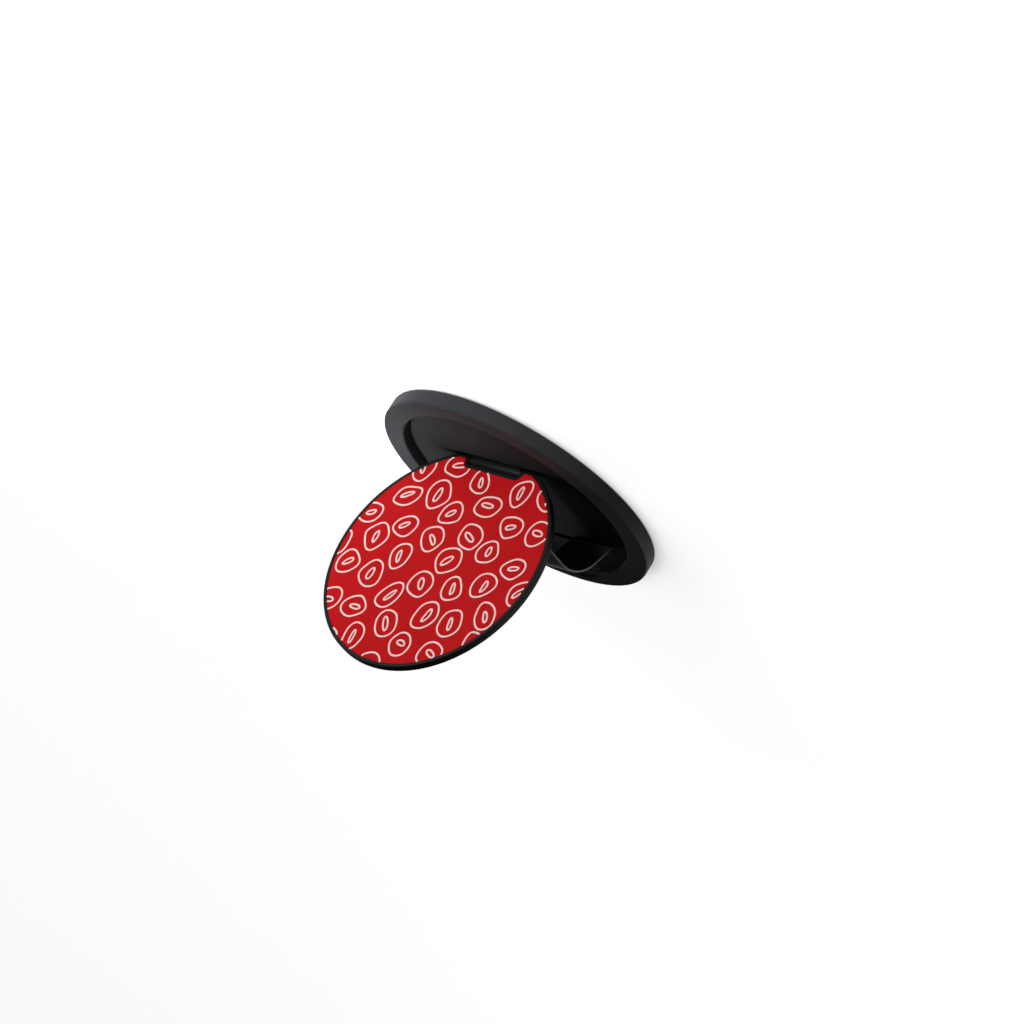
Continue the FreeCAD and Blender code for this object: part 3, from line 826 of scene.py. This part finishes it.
# Strokes: a flat nib is drawn along the rings, and what passes the sheet's rim, flat or notch is taken off.
rings = add(tree, "GeometryNodeSetCurveNormal", {"Curve": rings}, mode="Z_UP").outputs[0]
half_stroke = add(tree, "ShaderNodeMath", {0: given["Stroke"], 1: 0.5}, operation="MULTIPLY").outputs[0]
left = add(tree, "ShaderNodeCombineXYZ", {"X": half_stroke}).outputs[0]
right = add(tree, "ShaderNodeVectorMath", {0: left, "Scale": -1.0}, operation="SCALE").outputs[0]
nib = add(tree, "GeometryNodeCurvePrimitiveLine", {"Start": right, "End": left}).outputs[0]
ribbon = add(tree, "GeometryNodeCurveToMesh", {"Curve": rings, "Profile Curve": nib}).outputs[0]
spot = add(tree, "ShaderNodeSeparateXYZ", {"Vector": place}).outputs
far = add(tree, "ShaderNodeVectorMath", {0: place}, operation="LENGTH").outputs["Value"]
rim = {0: far, 1: given["Sheet Radius"]}
past_rim = add(tree, "FunctionNodeCompare", rim, operation="GREATER_THAN").outputs[0]
flat = {0: spot["Y"], 1: given["Flat"]}
past_flat = add(tree, "FunctionNodeCompare", flat, operation="GREATER_THAN").outputs[0]
notch = {0: spot["Y"], 1: given["Notch"]}
past_notch = add(tree, "FunctionNodeCompare", notch, operation="GREATER_THAN").outputs[0]
deep = add(tree, "ShaderNodeMath", notch, operation="SUBTRACT").outputs[0]
slope = {0: deep, 1: given["Notch Slope"], 2: given["Notch Half"]}
flare = add(tree, "ShaderNodeMath", slope, operation="MULTIPLY_ADD").outputs[0]
side = add(tree, "ShaderNodeMath", {0: spot["X"]}, operation="ABSOLUTE").outputs[0]
within = add(tree, "FunctionNodeCompare", {0: side, 1: flare}, operation="LESS_THAN").outputs[0]
off_sheet = add(tree, "FunctionNodeBooleanMath", {0: past_notch, 1: within}, operation="AND").outputs[0]
for past in (past_rim, past_flat):
    off_sheet = add(tree, "FunctionNodeBooleanMath", {0: off_sheet, 1: past}, operation="OR").outputs[0]
trim = {"Geometry": ribbon, "Selection": off_sheet}
ribbon = add(tree, "GeometryNodeDeleteGeometry", trim, domain="FACE").outputs[0]

# Ink: the strokes get a thickness and a closed underside, and are stood up on the sheet.
up = add(tree, "ShaderNodeCombineXYZ", {"Z": given["Ink Height"]}).outputs[0]
layer = {"Mesh": ribbon, "Offset": up, "Individual": False}
raised = add(tree, "GeometryNodeExtrudeMesh", layer).outputs[0]
under = add(tree, "GeometryNodeFlipFaces", {"Mesh": ribbon}).outputs[0]
ink = add(tree, "GeometryNodeJoinGeometry")
tree.links.new(raised, ink.inputs[0])
tree.links.new(under, ink.inputs[0])
ink = add(tree, "GeometryNodeMergeByDistance", {"Geometry": ink.outputs[0], "Distance": weld}).outputs[0]
stand = add(tree, "FunctionNodeEulerToRotation", {0: (-math.pi / 2, 0, 0)}).outputs[0]
upright = {"Geometry": ink, "Translation": (0, panel_front * mm, disc_centre * mm), "Rotation": stand}
ink = add(tree, "GeometryNodeTransform", upright).outputs[0]
ink = add(tree, "GeometryNodeSetMaterial", {"Geometry": ink, "Material": ink_paint}).outputs[0]
add(tree, "NodeGroupOutput", {"Geometry": ink})
print_values = {name: value for name, (_, value) in print_sizes.items()}
grown_piece("ink_lines", tree, print_values, "disc", "print_sheet")

# Hinge pin: a ground steel rod through the disc's ears and the slider's barrel, with a bronze washer on
# each side of the barrel.

# Bright steel with fine grinding rings round the pin, drawn coarser than they are.
pin_steel, tree = new_material("ground_steel")
surface = add(tree, "ShaderNodeBsdfPrincipled", {
    "Base Color": srgb("#b4b4b7"), "Metallic": 1.0,
    "Roughness": patches(tree, size=0.2, low=0.18, high=0.34, stretch=(1, 0.1, 0.1)),
})
add(tree, "ShaderNodeOutputMaterial", {"Surface": surface.outputs["BSDF"]})
dress("hinge_pin", pin_steel)

# Brown-gold bearing metal, dulled by a thin tarnish.
bronze, tree = new_material("plain_bronze")
surface = add(tree, "ShaderNodeBsdfPrincipled", {
    "Base Color": mottled(tree, "#5e4a2e", "#765d3a", size=0.4),
    "Metallic": 1.0,
    "Roughness": patches(tree, size=0.6, low=0.4, high=0.52),
})
add(tree, "ShaderNodeOutputMaterial", {"Surface": surface.outputs["BSDF"]})
dress("hinge_washers", bronze)

# Strap clamps: a black coated steel plate over each strap end on the disc's back, held by two domed rivets.
# They are the last pieces on, once the strap's ends lie in their pockets.
clamp_edge = 0.06
clamp_rivet_radius = 0.4
clamp_rivet_head_radius = 0.8
clamp_rivet_head = 0.12
clamp_rivet_inset = 2.4
clamp_low, clamp_high = (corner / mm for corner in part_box("strap_clamp_right"))
clamp_rivet_low, clamp_rivet_high = (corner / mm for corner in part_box("clamp_rivets"))

# Thin even paint with a soft gloss and the slight orange peel of a baked coat.
clamp_steel, tree = new_material("black_coated_steel")
surface = add(tree, "ShaderNodeBsdfPrincipled", {
    "Base Color": mottled(tree, "#18191b", "#1e1f21", size=5.0),
    "Roughness": patches(tree, size=2.0, low=0.3, high=0.4),
    "Coat Weight": 0.2,
    "Normal": grain(tree, size=0.5, height=0.01),
})
add(tree, "ShaderNodeOutputMaterial", {"Surface": surface.outputs["BSDF"]})
softened("clamp_plate_right", "strap_clamp_right", clamp_edge, clamp_steel, "disc", "clamp_steel")
softened("clamp_plate_left", "strap_clamp_left", clamp_edge, clamp_steel, "disc", "clamp_steel")
rivet_x = strap_high.x - clamp_rivet_inset
rivet_step = rivet_x - strap_window - clamp_rivet_inset
grown_piece("clamp_rivet_heads", rivets, {
    "Count": 2,
    "First": Vector((-rivet_x, clamp_rivet_high.y, (clamp_low.z + clamp_high.z) / 2)) * mm,
    "Step": Vector((rivet_step, 0, 0)) * mm,
    "Row Gap": Vector((2 * rivet_x - rivet_step, 0, 0)) * mm,
    "Shank Radius": clamp_rivet_radius * mm,
    "Shank Length": (clamp_rivet_high.y - clamp_rivet_low.y - clamp_rivet_head) * mm,
    "Head Radius": clamp_rivet_head_radius * mm,
    "Head Height": clamp_rivet_head * mm,
    "Turn": Vector((math.pi / 2, 0, 0)),
}, "disc", "rivet_steel", "clamp_rivets")

# Camera: a long lens in front of the printed disc and a little above the recess, as in the photograph.
# It is rolled about its own axis, because the base stands on edge there.
camera_aim = Vector((0.0, -1.76, 5.51)) * mm
camera_distance = 843.9 * mm
camera_bearing = math.radians(45.646)
camera_rise = math.radians(18.277)
camera_roll = math.radians(-147.48)
camera_lens = 162.08
camera_near = 10 * mm
toward = Vector((
    math.cos(camera_bearing) * math.cos(camera_rise),
    math.sin(camera_bearing) * math.cos(camera_rise),
    math.sin(camera_rise),
))
camera_data = bpy.data.cameras.new("camera")
camera_data.lens = camera_lens
camera_data.clip_start = camera_near
camera = bpy.data.objects.new("camera", camera_data)
level = (-toward).to_track_quat("-Z", "Y").to_matrix()
camera.matrix_world = Matrix.Translation(camera_aim + toward * camera_distance) @ (
    level @ Matrix.Rotation(camera_roll, 3, "Z")
).to_4x4()
bpy.context.scene.collection.objects.link(camera)
bpy.context.scene.camera = camera

# Floor and light: a white floor with a painted shadow that darkens its glow softly close to the grip, a
# wide low lamp in front of the print, a weaker one behind, a small one over the left end of the base, and a
# faint even surround.
floor_side = 6.0
floor_drop = 0.02 * mm
floor_colour = "#f4f4f4"
floor_glow = 0.9
floor_shade_reach = 45 * mm
floor_shade_samples = 4
surround_strength = 0.04
bpy.ops.mesh.primitive_plane_add(size=floor_side, location=(0, 0, -floor_drop))
floor = bpy.context.object
floor.name = "floor"
floor_paint, tree = new_material("floor_paint")
light_path = add(tree, "ShaderNodeLightPath").outputs
seen = light_path["Is Camera Ray"]
for ray in ("Is Glossy Ray", "Is Transmission Ray"):
    seen = add(tree, "ShaderNodeMath", {0: seen, 1: light_path[ray]}, operation="MAXIMUM").outputs[0]
# Painted shadow: ambient occlusion dims the floor's glow near the grip, as a soft contact shadow.
painted_shadow_reach = {"Distance": floor_shade_reach}
painted_floor_shadow = add(tree, "ShaderNodeAmbientOcclusion", painted_shadow_reach, samples=floor_shade_samples).outputs["AO"]
glow = add(tree, "ShaderNodeMath", {0: painted_floor_shadow, 1: floor_glow}, operation="MULTIPLY").outputs[0]
glow = add(tree, "ShaderNodeMath", {0: seen, 1: glow}, operation="MULTIPLY").outputs[0]
matt = add(tree, "ShaderNodeBsdfDiffuse", {"Color": srgb(floor_colour)}).outputs[0]
lit = add(tree, "ShaderNodeEmission", {"Strength": glow}).outputs[0]
surface = add(tree, "ShaderNodeAddShader", {0: matt, 1: lit})
add(tree, "ShaderNodeOutputMaterial", {"Surface": surface.outputs[0]})
floor.data.materials.append(floor_paint)

world = bpy.data.worlds.new("studio")
world.use_nodes = True
bpy.context.scene.world = world
surround = world.node_tree.nodes["Background"].inputs
surround["Color"].default_value = srgb("#ffffff")
surround["Strength"].default_value = surround_strength


def soft_lamp(name, place, aim, width, height, power, spread=math.pi):
    """A lamp of a width and height that faces a point on the grip, in millimetres and watts."""
    data = bpy.data.lights.new(name, "AREA")
    data.shape = "RECTANGLE"
    data.size = width * mm
    data.size_y = height * mm
    data.energy = power
    data.spread = spread
    lamp = bpy.data.objects.new(name, data)
    lamp.location = Vector(place) * mm
    lamp.rotation_mode = "QUATERNION"
    lamp.rotation_quaternion = (Vector(place) - Vector(aim)).to_track_quat("Z", "Y")
    bpy.context.scene.collection.objects.link(lamp)


soft_lamp("front", place=(-80, 590, 48), aim=(0, 0, 18), width=400, height=60, power=2.7)
soft_lamp("behind", place=(220, -550, 75), aim=(0, 0, 15), width=300, height=100, power=1.0)
soft_lamp(
    "left", place=(-52, 12, 82), aim=(-26, 14, 2), width=40, height=40, power=0.013, spread=math.radians(50)
)
bpy.context.scene.view_settings.view_transform = "Standard"
